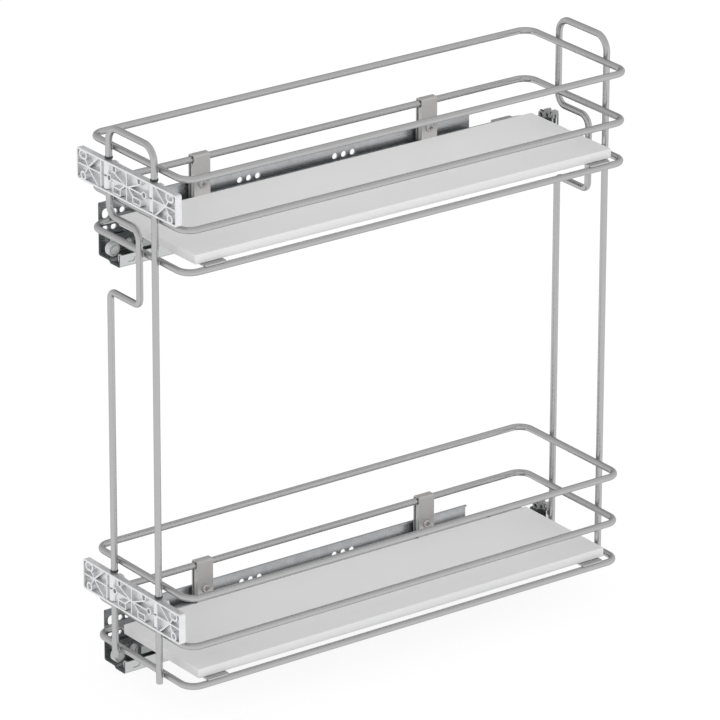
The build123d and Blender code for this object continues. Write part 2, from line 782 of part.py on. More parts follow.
def middle_rear_wheel(tier):
    """Rear roller of the middle member, inside the cabinet rail's track."""
    z = top_z(tier) - track_roller_drop
    return roller(roller_radius, middle_rear_roller_x, middle_rear_y - middle_rear_roller, z)


def drawer_wheel(tier):
    """Rear roller of the drawer member, inside the middle member's channel."""
    z = top_z(tier) - drawer_roller_drop
    return roller(inner_roller_radius, drawer_roller_x, drawer_rear_y - drawer_roller_inset, z)


def cabinet_pins():
    """Roller rivets of both cabinet rails, flush with the cabinet side."""
    y = rail_front_y + cabinet_roller_inset
    pins = [roller_pin(0, y, top_z(tier) - cabinet_roller_drop, rail_sheet, 1) for tier in tiers]
    return Compound(pins)


def middle_pins(tier):
    """Roller rivets of one middle member, two towards the basket and one towards the wall."""
    top = top_z(tier)
    pin_z = top - middle_roller_drop
    rear_y = middle_rear_y - middle_rear_roller
    pins = [roller_pin(middle_web_x, y, pin_z, middle_sheet, 1) for y in (front_roller_y, second_roller_y)]
    rear_x = middle_web_x + middle_sheet
    return Compound(pins + [roller_pin(rear_x, rear_y, top - track_roller_drop, middle_sheet, -1)])


def drawer_pins():
    """Roller rivets of both drawer members."""
    y = drawer_rear_y - drawer_roller_inset
    x = drawer_web_x + drawer_sheet
    pins = [roller_pin(x, y, top_z(tier) - drawer_roller_drop, drawer_sheet, -1) for tier in tiers]
    return Compound(pins)


# Soft-close unit

def damper_z(tier):
    """Underside of the soft-close unit."""
    return top_z(tier) - middle_top_drop + damper_lift


def damper_housing(tier):
    """Sealed damper case on the cabinet rail's web, with a guide slot and a thicker rear cap."""
    z = damper_z(tier)
    outer_x = damper_x + damper_width
    end_y = damper_front_y + damper_length
    case = block((rail_sheet, outer_x), (damper_front_y, end_y), (z, z + damper_height))
    case = fillet(case.edges().filter_by(Axis.Y).group_by(Axis.X)[-1], damper_radius)
    cap = block((rail_sheet, outer_x + damper_cap_rise), (end_y - damper_cap_length, end_y),
                (z, z + damper_height + damper_cap_rise))
    cap = fillet(cap.edges().filter_by(Axis.Y).group_by(Axis.X)[-1], damper_radius)
    slot_y = damper_front_y + damper_slot_inset + damper_slot_length / 2
    slot_place = facing_basket(outer_x - damper_slot_depth, slot_y, z + damper_height / 2)
    slot = extrude(slot_place * SlotOverall(damper_slot_length, damper_slot_height), 2 * damper_slot_depth)
    return case + cap - slot


def damper_catch(tier):
    """Catch at the mouth of the damper, open towards the front for the striker pin."""
    z = damper_z(tier)
    y_range = (damper_front_y - catch_length, damper_front_y)
    middle_x = damper_x + damper_width / 2
    body = block((damper_x + catch_inset, damper_x + damper_width - catch_inset), y_range,
                 (z + catch_inset, z + damper_height - catch_inset))
    slot = block((middle_x - catch_slot / 2, middle_x + catch_slot / 2),
                 (y_range[0] - past, y_range[0] + catch_slot_length), (z - past, z + damper_height + past))
    return body - slot


def striker(tier):
    """Arm on the drawer member with the pin that the soft-close catch holds."""
    z = top_z(tier) - drawer_top_drop
    pin_x = damper_x + damper_width / 2
    slot_end_y = damper_front_y - catch_length + catch_slot_length
    pin_y = slot_end_y - striker_pin_radius - flange_gap
    arm_y = (pin_y - striker_front, pin_y + striker_back)
    arm = block((pin_x - striker_back, drawer_web_x - striker_inset), arm_y, (z, z + striker_sheet))
    arm = fillet(arm.edges().filter_by(Axis.Z), striker_corner)
    pin = Cylinder(striker_pin_radius, striker_pin_height, align=(Align.CENTER, Align.CENTER, Align.MIN))
    return arm + Pos(pin_x, pin_y, z + striker_sheet) * pin


# Rear ends of the cabinet rails

def rear_bracket(tier):
    """Steel end plate with an ear bent forward at its basket side."""
    top = top_z(tier)
    low_z = top - rail_floor_drop - trough_step
    plate = block((0, rear_width), (rail_rear_y, rail_rear_y + rear_sheet), (low_z, top - rear_top_drop))
    ear_z = (top - rear_ear_top_drop - rear_ear_height, top - rear_ear_top_drop)
    ear = block((rear_width - rear_sheet, rear_width),
                (rail_rear_y - rear_ear_depth + rear_sheet, rail_rear_y + rear_sheet), ear_z)
    ear = fillet(ear.edges().filter_by(Axis.X).group_by(Axis.Z)[-1], rear_ear_corner)
    return plate + ear


def star_knob(y, z):
    """Disc with a ring of small lobes and a bore, its face towards the front at y."""
    face = Circle(knob_hub_radius)
    for place in PolarLocations(knob_hub_radius, knob_lobes):
        face += place * Circle(knob_lobe_radius)
    back = facing_front(stop_knob_x, y + stop_knob_depth, z)
    return extrude(back * (face - Circle(knob_bore_radius)), stop_knob_depth)


def rear_stop(tier):
    """Plastic buffer block in front of the end plate, with a ring and a star knob on top."""
    top = top_z(tier)
    front_y = rail_rear_y - stop_block_depth
    low_z = top - floor_top_drop + flange_gap
    high_z = top - stop_block_top_drop
    x_low = rail_sheet + flange_gap
    body = block((x_low, x_low + stop_block_width), (front_y, rail_rear_y), (low_z, high_z))
    top_edges = body.edges().filter_by(Axis.Y).group_by(Axis.Z)[-1]
    body = fillet(top_edges, stop_block_corner)
    ring_back = facing_front(stop_ring_x, front_y + stop_ring_depth, high_z + stop_ring_rise)
    ring = extrude(ring_back * (Circle(stop_ring_radius) - Circle(stop_ring_bore)), stop_ring_depth)
    return body + ring + star_knob(front_y, high_z + stop_knob_rise)


nodes = {"front_frame": leg_frame(front_leg_y), "rear_frame": leg_frame(rear_leg_y)}
for tier in tiers:
    nodes[tier + "_top_loop"] = wire_loop(top_z(tier))
    nodes[tier + "_middle_loop"] = wire_loop(top_z(tier) - mid_drop)
    nodes[tier + "_base_loop"] = wire_loop(top_z(tier) - base_drop)
    nodes[tier + "_board"] = board(tier)
    nodes[tier + "_board_tabs"] = board_tabs(tier)
    nodes[tier + "_front_hanger"] = hanger(tier, -1)
    nodes[tier + "_rear_hanger"] = hanger(tier, 1)
    nodes[tier + "_door_bracket"] = door_bracket(tier)
    nodes[tier + "_leg_clamps"] = leg_clamps(tier)
    nodes[tier + "_cabinet_rail"] = cabinet_rail(tier)
    nodes[tier + "_cabinet_track"] = cabinet_track(tier)
    nodes[tier + "_middle_rail"] = middle_rail(tier)
    nodes[tier + "_drawer_rail"] = drawer_rail(tier)
    nodes[tier + "_cabinet_roller"] = cabinet_roller(tier)
    nodes[tier + "_middle_front_roller"] = middle_front_wheel(tier, front_roller_y)
    nodes[tier + "_middle_second_roller"] = middle_front_wheel(tier, second_roller_y)
    nodes[tier + "_middle_rear_roller"] = middle_rear_wheel(tier)
    nodes[tier + "_drawer_roller"] = drawer_wheel(tier)
    nodes[tier + "_middle_pins"] = middle_pins(tier)
    nodes[tier + "_damper_housing"] = damper_housing(tier)
    nodes[tier + "_damper_catch"] = damper_catch(tier)
    nodes[tier + "_striker"] = striker(tier)
    nodes[tier + "_rear_bracket"] = rear_bracket(tier)
    nodes[tier + "_rear_stop"] = rear_stop(tier)
nodes["board_screws"] = board_screws()
nodes["hanger_screws"] = hanger_screws()
nodes["clamp_screws"] = clamp_screws()
nodes["cabinet_roller_pins"] = cabinet_pins()
nodes["drawer_roller_pins"] = drawer_pins()

for name, shape in nodes.items():
    export_step(shape, "parts/" + name + ".step")
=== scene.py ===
import json
import math

import bmesh
import bpy
from mathutils import Matrix, Vector, noise

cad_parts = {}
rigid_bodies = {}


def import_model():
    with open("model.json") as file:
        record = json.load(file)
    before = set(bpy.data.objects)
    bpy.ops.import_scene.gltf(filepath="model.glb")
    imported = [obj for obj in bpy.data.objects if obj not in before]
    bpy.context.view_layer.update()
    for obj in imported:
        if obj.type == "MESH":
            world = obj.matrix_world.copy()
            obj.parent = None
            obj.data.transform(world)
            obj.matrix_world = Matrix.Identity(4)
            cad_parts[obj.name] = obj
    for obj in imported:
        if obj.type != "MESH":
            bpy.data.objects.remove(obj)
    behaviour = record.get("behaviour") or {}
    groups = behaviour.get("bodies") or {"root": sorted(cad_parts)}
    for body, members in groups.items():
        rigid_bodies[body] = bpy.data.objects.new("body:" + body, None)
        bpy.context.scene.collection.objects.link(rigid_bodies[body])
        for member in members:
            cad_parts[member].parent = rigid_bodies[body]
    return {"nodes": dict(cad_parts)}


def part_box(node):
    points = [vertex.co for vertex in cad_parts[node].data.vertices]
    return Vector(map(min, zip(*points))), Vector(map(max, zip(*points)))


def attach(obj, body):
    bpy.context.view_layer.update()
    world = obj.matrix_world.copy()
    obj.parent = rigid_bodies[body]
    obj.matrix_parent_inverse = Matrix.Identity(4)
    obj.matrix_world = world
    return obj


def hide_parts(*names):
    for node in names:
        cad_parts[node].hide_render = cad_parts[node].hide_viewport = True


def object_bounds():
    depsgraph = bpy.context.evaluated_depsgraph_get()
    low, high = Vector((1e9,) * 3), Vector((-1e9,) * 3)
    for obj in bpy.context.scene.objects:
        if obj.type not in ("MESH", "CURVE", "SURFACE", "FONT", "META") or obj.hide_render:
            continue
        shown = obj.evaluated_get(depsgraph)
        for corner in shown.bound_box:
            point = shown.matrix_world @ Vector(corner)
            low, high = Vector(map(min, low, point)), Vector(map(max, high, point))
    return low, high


for leftover in list(bpy.data.objects):
    bpy.data.objects.remove(leftover)
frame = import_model()
cad_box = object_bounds()


# Wire loops and frames: 5.7 mm mild steel wire, straightened, bent cold, butt-welded into
# loops and welded side by side to the two frames. The whole basket is then polished and
# satin nickel plated, which gives a soft grey metal with a faintly mottled sheen.
mm = 0.001
tiers = ("upper", "lower")
levels = ("top", "middle", "base")
nickel_light = "#C0C0C0"
nickel_dark = "#B5B5B5"
nickel_edge = "#D2D2D2"
nickel_mottle = 6.0 * mm
nickel_polish_marks = 0.5 * mm  # coarser than real, so that they show


def linear(colour):
    """Linear RGBA of an sRGB hex colour."""
    parts = [int(colour[i:i + 2], 16) / 255 for i in (1, 3, 5)]
    return [p / 12.92 if p <= 0.04045 else ((p + 0.055) / 1.055) ** 2.4 for p in parts] + [1.0]


def add_node(material, kind, inputs, **settings):
    """Adds one shader node; inputs maps input names to values or to the sockets to link."""
    node = material.node_tree.nodes.new(kind)
    for name, value in settings.items():
        setattr(node, name, value)
    for name, value in inputs.items():
        if isinstance(value, bpy.types.NodeSocket):
            material.node_tree.links.new(value, node.inputs[name])
        else:
            node.inputs[name].default_value = value
    return node


def new_material(name):
    """An empty node material with its object coordinates, in metres."""
    material = bpy.data.materials.new(name)
    material.use_nodes = True
    material.node_tree.nodes.clear()
    place = add_node(material, "ShaderNodeTexCoord", {}).outputs["Object"]
    return material, place


def close_material(material, surface):
    """Connects a surface shader to the material's output."""
    add_node(material, "ShaderNodeOutputMaterial", {"Surface": surface.outputs["BSDF"]})
    return material


def satin_nickel():
    material, place = new_material("satin_nickel_plate")
    mottle = add_node(material, "ShaderNodeTexNoise",
                      {"Vector": place, "Scale": 1 / nickel_mottle, "Detail": 4.0, "Roughness": 0.6})
    marks = add_node(material, "ShaderNodeTexNoise",
                     {"Vector": place, "Scale": 1 / nickel_polish_marks, "Detail": 2.0})
    colour = add_node(material, "ShaderNodeMix",
                      {"Factor": mottle.outputs["Fac"], "A": linear(nickel_dark),
                       "B": linear(nickel_light)}, data_type="RGBA")
    rough = add_node(material, "ShaderNodeMapRange",
                     {"Value": mottle.outputs["Fac"], "From Min": 0.3, "From Max": 0.7,
                      "To Min": 0.24, "To Max": 0.32})
    bump = add_node(material, "ShaderNodeBump",
                    {"Height": marks.outputs["Fac"], "Strength": 0.035, "Distance": 0.01 * mm})
    surface = add_node(material, "ShaderNodeBsdfPrincipled",
                       {"Base Color": colour.outputs["Result"], "Metallic": 1.0,
                        "Roughness": rough.outputs["Result"], "Specular Tint": linear(nickel_edge),
                        "Normal": bump.outputs["Normal"]})
    return close_material(material, surface)


def dress(node, material):
    """Gives a CAD node its finish."""
    for place in frame["nodes"][node].material_slots:
        place.material = material


wire_finish = satin_nickel()
for node in ("front_frame", "rear_frame"):
    dress(node, wire_finish)
for tier in tiers:
    for level in levels:
        dress(f"{tier}_{level}_loop", wire_finish)


# Weld nuggets: where a loop crosses a frame leg, the two wires are resistance welded and
# a little metal is squeezed out round the joint. Each loop is closed by a butt weld in the
# middle of its rear side, dressed down to a low ring. All are plated with the basket.
wire_radius = 2.85 * mm
outer_leg_x = 107.5 * mm
inner_leg_x = 43.5 * mm
stepped_leg_x = 85.3 * mm
nugget_reach = 2.1 * mm
nugget_half_depth = 1.2 * mm
nugget_unevenness = 0.12 * mm
nugget_lump = 1.2 * mm
butt_weld_rise = 0.16 * mm
butt_weld_half_width = 0.9 * mm
butt_weld_unevenness = 0.25
butt_weld_waves = 3
butt_weld_section = [(-1.0, -0.3), (-0.6, 0.55), (0.0, 1.0), (0.55, 0.6), (1.0, -0.3)]


def nugget(shape, centre):
    """Adds one flattened, slightly uneven bead of squeezed-out metal to a mesh."""
    size = Matrix.Diagonal((nugget_reach, nugget_half_depth, nugget_reach, 1.0))
    made = bmesh.ops.create_icosphere(shape, subdivisions=3, radius=1.0,
                                      matrix=Matrix.Translation(centre) @ size)
    for vertex in made["verts"]:
        outwards = (vertex.co - centre).normalized()
        vertex.co += outwards * noise.noise(vertex.co / nugget_lump) * nugget_unevenness


def finished(name, shape, material, body, smooth=True):
    """Turns a bmesh into a smooth or faceted piece that rides on a body."""
    data = bpy.data.meshes.new(name)
    shape.to_mesh(data)
    shape.free()
    for face in data.polygons:
        face.use_smooth = smooth
    data.materials.append(material)
    piece = bpy.data.objects.new(name, data)
    bpy.context.scene.collection.objects.link(piece)
    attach(piece, body)
    return piece


def stack(shape, rings, close_ends=True):
    """Skins rings of equally many points, and caps the ends or else joins them to each other."""
    made = [[shape.verts.new(point) for point in ring] for ring in rings]
    count = len(made[0])
    pairs = list(zip(made, made[1:]))
    if not close_ends:
        pairs.append((made[-1], made[0]))
    for lower, upper in pairs:
        for i in range(count):
            shape.faces.new((lower[i], lower[(i + 1) % count], upper[(i + 1) % count], upper[i]))
    if close_ends:
        shape.faces.new(list(reversed(made[0])))
        shape.faces.new(made[-1])


def butt_weld(shape, centre):
    """Adds a low, slightly uneven ring round a wire that runs along X."""
    turns = 24
    rings = []
    for across, rise in butt_weld_section:
        ring = []
        for turn in range(turns):
            angle = 2 * math.pi * turn / turns
            way = Vector((0.0, math.cos(angle), math.sin(angle)))
            uneven = 1 + butt_weld_unevenness * noise.noise(way * butt_weld_waves + centre / mm)
            out = wire_radius + butt_weld_rise * rise * uneven
            ring.append(centre + way * out + Vector((across * butt_weld_half_width, 0.0, 0.0)))
        rings.append(ring)
    stack(shape, rings, close_ends=False)


for side in ("front", "rear"):
    welds = bmesh.new()
    frame_low, frame_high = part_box(side + "_frame")
    for tier in tiers:
        for level in levels:
            loop_low, loop_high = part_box(f"{tier}_{level}_loop")
            height = (loop_low.z + loop_high.z) / 2
            touch_y = frame_high.y if side == "front" else frame_low.y
            inner_x = stepped_leg_x if (tier, level) == ("upper", "base") else inner_leg_x
            for x in (inner_x, outer_leg_x):
                nugget(welds, Vector((x, touch_y, height)))
            if side == "rear":
                middle_x = (loop_low.x + loop_high.x) / 2
                butt_weld(welds, Vector((middle_x, loop_high.y - wire_radius, height)))
    finished(side + "_frame_welds", welds, wire_finish, "rack")


# Boards: 8 mm particle board faced with pale grey melamine, its four edges closed with a
# 1 mm band of white ABS that is glued on hot and rounded over. The faces have a fine pearl
# grain; the band is a shade lighter and smoother.
melamine_face = "#DCDCDC"
melamine_clouded = "#D8D8D8"
band_colour = "#E0E0E0"
band_thickness = 1.0 * mm
band_round = 0.6 * mm
band_corner_round = 1.2 * mm
band_ripple = 9.0 * mm
glue_line = 0.08 * mm
panel_corner_round = 0.3 * mm
pearl_grain = 0.7 * mm  # coarser than real, so that it shows
melamine_cloud = 40.0 * mm


def melamine():
    material, place = new_material("pearl_grey_melamine")
    grain = add_node(material, "ShaderNodeTexNoise",
                     {"Vector": place, "Scale": 1 / pearl_grain, "Detail": 3.0, "Roughness": 0.55})
    cloud = add_node(material, "ShaderNodeTexNoise",
                     {"Vector": place, "Scale": 1 / melamine_cloud, "Detail": 2.0})
    colour = add_node(material, "ShaderNodeMix",
                      {"Factor": cloud.outputs["Fac"], "A": linear(melamine_clouded),
                       "B": linear(melamine_face)}, data_type="RGBA")
    rough = add_node(material, "ShaderNodeMapRange",
                     {"Value": grain.outputs["Fac"], "From Min": 0.3, "From Max": 0.7,
                      "To Min": 0.42, "To Max": 0.52})
    bump = add_node(material, "ShaderNodeBump",
                    {"Height": grain.outputs["Fac"], "Strength": 0.15, "Distance": 0.05 * mm})
    surface = add_node(material, "ShaderNodeBsdfPrincipled",
                       {"Base Color": colour.outputs["Result"], "Roughness": rough.outputs["Result"],
                        "IOR": 1.5, "Normal": bump.outputs["Normal"]})
    return close_material(material, surface)


def edge_band():
    material, place = new_material("white_abs_band")
    ripple = add_node(material, "ShaderNodeTexNoise",
                      {"Vector": place, "Scale": 1 / band_ripple, "Detail": 1.0})
    bump = add_node(material, "ShaderNodeBump",
                    {"Height": ripple.outputs["Fac"], "Strength": 0.1, "Distance": 0.1 * mm})
    surface = add_node(material, "ShaderNodeBsdfPrincipled",
                       {"Base Color": linear(band_colour), "Roughness": 0.38, "IOR": 1.53,
                        "Normal": bump.outputs["Normal"]})
    return close_material(material, surface)


def round_rectangle(low, high, inset, radius, steps=6):
    """Points of a rectangle with round corners, anticlockwise, as (x, y)."""
    corners = ((high.x, high.y, 0), (low.x, high.y, 90), (low.x, low.y, 180), (high.x, low.y, 270))
    points = []
    for x, y, start in corners:
        out_x = 1 if x == high.x else -1
        out_y = 1 if y == high.y else -1
        middle_x = x - out_x * (inset + radius)
        middle_y = y - out_y * (inset + radius)
        for step in range(steps + 1):
            angle = math.radians(start + 90 * step / steps)
            points.append((middle_x + radius * math.cos(angle), middle_y + radius * math.sin(angle)))
    return points


def rim_rounding(low_z, high_z, radius, steps=4):
    """(inset, z) pairs up the outside of a slab whose rims are rounded."""
    angles = [math.radians(90 * step / steps) for step in range(steps + 1)]
    lower = [(radius * (1 - math.sin(angle)), low_z + radius * (1 - math.cos(angle))) for angle in angles]
    upper = [(inset, high_z - (z - low_z)) for inset, z in reversed(lower)]
    return lower + upper


board_face = melamine()
band_finish = edge_band()
for tier in tiers:
    low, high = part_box(tier + "_board")
    panel = bmesh.new()
    panel_inset = band_thickness + glue_line
    stack(panel, [[(x, y, z) for x, y in round_rectangle(low, high, panel_inset + inset, panel_corner_round)]
                  for inset, z in rim_rounding(low.z, high.z, glue_line)])
    panel_piece = finished(tier + "_board_panel", panel, board_face, "rack", smooth=False)
    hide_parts(tier + "_board")
    band = bmesh.new()
    outside = [[(x, y, z) for x, y in round_rectangle(low, high, inset, band_corner_round)]
               for inset, z in rim_rounding(low.z, high.z, band_round)]
    inside = [[(x, y, z) for x, y in round_rectangle(low, high, band_thickness, panel_corner_round)]
              for z in (high.z, low.z)]
    stack(band, outside + inside, close_ends=False)
    band_piece = finished(tier + "_board_band", band, band_finish, "rack")
    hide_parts(tier + "_board")


# Hangers with their screws, board tabs and strikers: cold-rolled steel strip, blanked and
# folded. The tabs are welded to the base loops and plated with them; the rest keeps its
# lengthwise rolling lines and is duller and a little warmer than the wires.
strip_light = "#CBC9C8"
strip_dark = "#B9B6B5"
strip_edge = "#8C8A89"
strip_line_width = 0.35 * mm  # coarser than real, so that the lines show
strip_line_length = 30.0 * mm


def satin_strip():
    material, place = new_material("satin_steel_strip")
    along = add_node(material, "ShaderNodeMapping",
                     {"Vector": place, "Scale": (1 / strip_line_width, 1 / strip_line_width,
                                                 1 / strip_line_length)})
    lines = add_node(material, "ShaderNodeTexNoise",
                     {"Vector": along.outputs["Vector"], "Scale": 1.0, "Detail": 3.0, "Roughness": 0.6})
    colour = add_node(material, "ShaderNodeMix",
                      {"Factor": lines.outputs["Fac"], "A": linear(strip_dark), "B": linear(strip_light)},
                      data_type="RGBA")
    rough = add_node(material, "ShaderNodeMapRange",
                     {"Value": lines.outputs["Fac"], "From Min": 0.3, "From Max": 0.7,
                      "To Min": 0.28, "To Max": 0.42})
    bump = add_node(material, "ShaderNodeBump",
                    {"Height": lines.outputs["Fac"], "Strength": 0.2, "Distance": 0.02 * mm})
    surface = add_node(material, "ShaderNodeBsdfPrincipled",
                       {"Base Color": colour.outputs["Result"], "Metallic": 0.65,
                        "Roughness": rough.outputs["Result"], "Specular Tint": linear(strip_edge),
                        "Normal": bump.outputs["Normal"]})
    return close_material(material, surface)


strip_finish = satin_strip()
dress("hanger_screws", strip_finish)
for tier in tiers:
    dress(tier + "_board_tabs", wire_finish)
    for part in ("front_hanger", "rear_hanger", "striker"):
        dress(f"{tier}_{part}", strip_finish)


# Door brackets and leg clamps: zinc pressure die castings, barrel polished and clear
# passivated. The skin is bright and pale, softly clouded by the tumbling, with a fine grit.
casting_light = "#F8F8F9"
casting_dark = "#DADBDD"
casting_edge = "#C9CACC"
casting_cloud = 4.0 * mm
casting_grit = 0.35 * mm  # coarser than real, so that it shows


def passivated_zinc():
    material, place = new_material("passivated_zinc_casting")
    cloud = add_node(material, "ShaderNodeTexNoise",
                     {"Vector": place, "Scale": 1 / casting_cloud, "Detail": 4.0, "Roughness": 0.65})
    grit = add_node(material, "ShaderNodeTexNoise",
                    {"Vector": place, "Scale": 1 / casting_grit, "Detail": 2.0})
    colour = add_node(material, "ShaderNodeMix",
                      {"Factor": cloud.outputs["Fac"], "A": linear(casting_dark),
                       "B": linear(casting_light)}, data_type="RGBA")
    rough = add_node(material, "ShaderNodeMapRange",
                     {"Value": cloud.outputs["Fac"], "From Min": 0.3, "From Max": 0.7,
                      "To Min": 0.26, "To Max": 0.42})
    bump = add_node(material, "ShaderNodeBump",
                    {"Height": grit.outputs["Fac"], "Strength": 0.25, "Distance": 0.03 * mm})
    surface = add_node(material, "ShaderNodeBsdfPrincipled",
                       {"Base Color": colour.outputs["Result"], "Metallic": 0.78,
                        "Roughness": rough.outputs["Result"], "Specular Tint": linear(casting_edge),
                        "Normal": bump.outputs["Normal"]})
    return close_material(material, surface)


casting_finish = passivated_zinc()
for tier in tiers:
    dress(tier + "_door_bracket", casting_finish)
    dress(tier + "_leg_clamps", casting_finish)


# Runner members and rear brackets: hot-dip galvanised strip, roll-formed, a cool grey metal with
# a faint spangle and long streaks. The outer wall is painted paler, as painted light, and the web
# darker, as painted shade; the members are a darker copy, as painted shade, and the sheared ends
# are painted dark, as painted shade.
zinc_light = "#C6C8CA"
zinc_dark = "#AAACAF"
# Painted light: the paler colour of the outer wall.
zinc_painted_lit = "#CBCECD"
zinc_edge = "#A4A7AA"
# Painted shade on the sheared cut ends.
sheared_end_shade = "#5E6163"
# The members' zinc, darker than the rail's as painted shade.
member_shaded_light = "#A3A6A6"
member_shaded_dark = "#888B8C"
# Painted shade up to here towards the web, painted light from here on towards the outer wall.
painted_shade_to_x = 18.0 * mm
painted_light_from_x = 26.0 * mm
spangle_size = 7.0 * mm
roll_streak_width = 0.5 * mm  # coarser than real, so that the streaks show
roll_streak_length = 120.0 * mm
shear_depth = 0.05 * mm
least_spangle = 0.15


def galvanised(name, dark, light, painted_lit, bare_share, ends):
    """Spangled zinc, painted paler towards the outer wall as painted light, darker towards the web and at
    both sheared ends as painted shade; ends holds the Y of both sheared ends.
    """
    material, place = new_material(name)
    spangle = add_node(material, "ShaderNodeTexVoronoi", {"Vector": place, "Scale": 1 / spangle_size})
    along = add_node(material, "ShaderNodeMapping",
                     {"Vector": place, "Scale": (1 / roll_streak_width, 1 / roll_streak_length,
                                                 1 / roll_streak_width)})
    streaks = add_node(material, "ShaderNodeTexNoise",
                       {"Vector": along.outputs["Vector"], "Scale": 1.0, "Detail": 3.0})
    grey = add_node(material, "ShaderNodeRGBToBW", {"Color": spangle.outputs["Color"]})
    share = add_node(material, "ShaderNodeMath",
                     {0: grey.outputs["Val"], 1: streaks.outputs["Fac"], 2: least_spangle},
                     operation="MULTIPLY_ADD")
    colour = add_node(material, "ShaderNodeMix",
                      {"Factor": share.outputs["Value"], "A": linear(dark), "B": linear(light)},
                      data_type="RGBA")
    across = add_node(material, "ShaderNodeSeparateXYZ", {"Vector": place})
    # Painted light and shade: paler towards the outer wall, darker towards the web.
    painted_light_share = add_node(material, "ShaderNodeMapRange",
                     {"Value": across.outputs["X"], "From Min": painted_shade_to_x, "From Max": painted_light_from_x},
                     interpolation_type="SMOOTHSTEP")
    colour = add_node(material, "ShaderNodeMix",
                      {"Factor": painted_light_share.outputs["Result"], "A": colour.outputs["Result"],
                       "B": linear(painted_lit)}, data_type="RGBA")
    # Painted shade: the faces at both sheared ends are darker.
    low_y, high_y = ends
    along_y = add_node(material, "ShaderNodeMath",
                       {0: across.outputs["Y"], 1: (low_y + high_y) / 2}, operation="SUBTRACT")
    from_middle = add_node(material, "ShaderNodeMath", {0: along_y.outputs["Value"]}, operation="ABSOLUTE")
    painted_end_shade = add_node(material, "ShaderNodeMath",
                      {0: from_middle.outputs["Value"], 1: (high_y - low_y) / 2 - shear_depth},
                      operation="GREATER_THAN")
    colour = add_node(material, "ShaderNodeMix",
                      {"Factor": painted_end_shade.outputs["Value"], "A": colour.outputs["Result"],
                       "B": linear(sheared_end_shade)}, data_type="RGBA")
    rough = add_node(material, "ShaderNodeMapRange",
                     {"Value": streaks.outputs["Fac"], "From Min": 0.3, "From Max": 0.7,
                      "To Min": 0.22, "To Max": 0.36})
    bump = add_node(material, "ShaderNodeBump",
                    {"Height": streaks.outputs["Fac"], "Strength": 0.2, "Distance": 0.02 * mm})
    surface = add_node(material, "ShaderNodeBsdfPrincipled",
                       {"Base Color": colour.outputs["Result"], "Metallic": bare_share,
                        "Roughness": rough.outputs["Result"], "Specular Tint": linear(zinc_edge),
                        "Normal": bump.outputs["Normal"]})
    return close_material(material, surface)


rail_ends, member_ends = [[corner.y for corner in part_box(part)]
                          for part in ("upper_cabinet_rail", "upper_middle_rail")]
rail_finish = galvanised("galvanised_rail", zinc_dark, zinc_light, zinc_painted_lit,
                         bare_share=0.9, ends=rail_ends)
# The members get the darker zinc, which is painted shade.
member_finish = galvanised("shaded_galvanised_member", member_shaded_dark, member_shaded_light, member_shaded_light,
                           bare_share=0.7, ends=member_ends)
for tier in tiers:
    for part in ("cabinet_rail", "cabinet_track", "rear_bracket"):
        dress(f"{tier}_{part}", rail_finish)
    for part in ("middle_rail", "drawer_rail"):
        dress(f"{tier}_{part}", member_finish)


# Rollers: natural nylon 6, injection moulded, which is milky and slightly waxy, with grey
# clouds where the grease has soaked in.
nylon_colour = "#D3D7D4"
nylon_greasy = "#B3B8B6"
nylon_cloud = 3.0 * mm


def natural_nylon():
    material, place = new_material("natural_nylon")
    cloud = add_node(material, "ShaderNodeTexNoise",
                     {"Vector": place, "Scale": 1 / nylon_cloud, "Detail": 3.0})
    colour = add_node(material, "ShaderNodeMix",
                      {"Factor": cloud.outputs["Fac"], "A": linear(nylon_greasy),
                       "B": linear(nylon_colour)}, data_type="RGBA")
    surface = add_node(material, "ShaderNodeBsdfPrincipled",
                       {"Base Color": colour.outputs["Result"], "Roughness": 0.4, "IOR": 1.53,
                        "Subsurface Weight": 0.25, "Subsurface Radius": (1.2, 1.1, 1.0),
                        "Subsurface Scale": 0.6 * mm})
    return close_material(material, surface)


roller_finish = natural_nylon()
for tier in tiers:
    for part in ("cabinet", "middle_front", "middle_second", "middle_rear", "drawer"):
        dress(f"{tier}_{part}_roller", roller_finish)


# Hanger spacers: natural nylon blocks, moulded, between the two leaves of each hanger and
# the two wires that it holds. The hanger's screw passes through the block.
spacer_leaf_gap = 0.1 * mm
spacer_depth = 4.0 * mm
spacer_inset = 0.4 * mm
spacer_wire_gap = 0.4 * mm
block_edge = 0.4 * mm
far_wire_x = 8.5 * mm
wire_leaf_gap = 0.05 * mm


def rounded_block(shape, low, high):
    """Adds a block whose upright edges and rims are rounded, thin blocks a little less."""
    edge = min(block_edge, *((high - low) / 4))
    rings = []
    for inset, z in rim_rounding(low.z, high.z, edge, steps=3):
        rings.append([(x, y, z) for x, y in round_rectangle(low, high, inset, edge, steps=3)])
    stack(shape, rings)


spacer_high_x = far_wire_x + wire_radius + wire_leaf_gap - spacer_leaf_gap
for tier in tiers:
    spacers = bmesh.new()
    middle_wire_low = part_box(tier + "_middle_loop")[0].z
    base_wire_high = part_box(tier + "_base_loop")[1].z
    for part in ("front_hanger", "rear_hanger"):
        hanger_low, hanger_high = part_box(f"{tier}_{part}")
        rounded_block(spacers,
                      Vector((spacer_high_x - spacer_depth, hanger_low.y + spacer_inset,
                              base_wire_high + spacer_wire_gap)),
                      Vector((spacer_high_x, hanger_high.y - spacer_inset,
                              middle_wire_low - spacer_wire_gap)))
    finished(tier + "_hanger_spacers", spacers, roller_finish, "rack")


# Wall clips: a small pale nylon hook pressed over the low wall at the front of each cabinet rail,
# where the wall's front edge turns in; its pale colour is a painted highlight on that edge.
rail_wall_outside = 30.5 * mm
rail_wall_sheet = 1.4 * mm
rail_wall_height = 10.4 * mm
hook_leg = 1.0 * mm
hook_leg_gap = 0.4 * mm
hook_leg_drop = 5.2 * mm
hook_crown = 0.8 * mm
hook_seat_gap = 0.05 * mm
hook_overhang = 0.3 * mm
hook_setback = 0.2 * mm
hook_length = 1.8 * mm

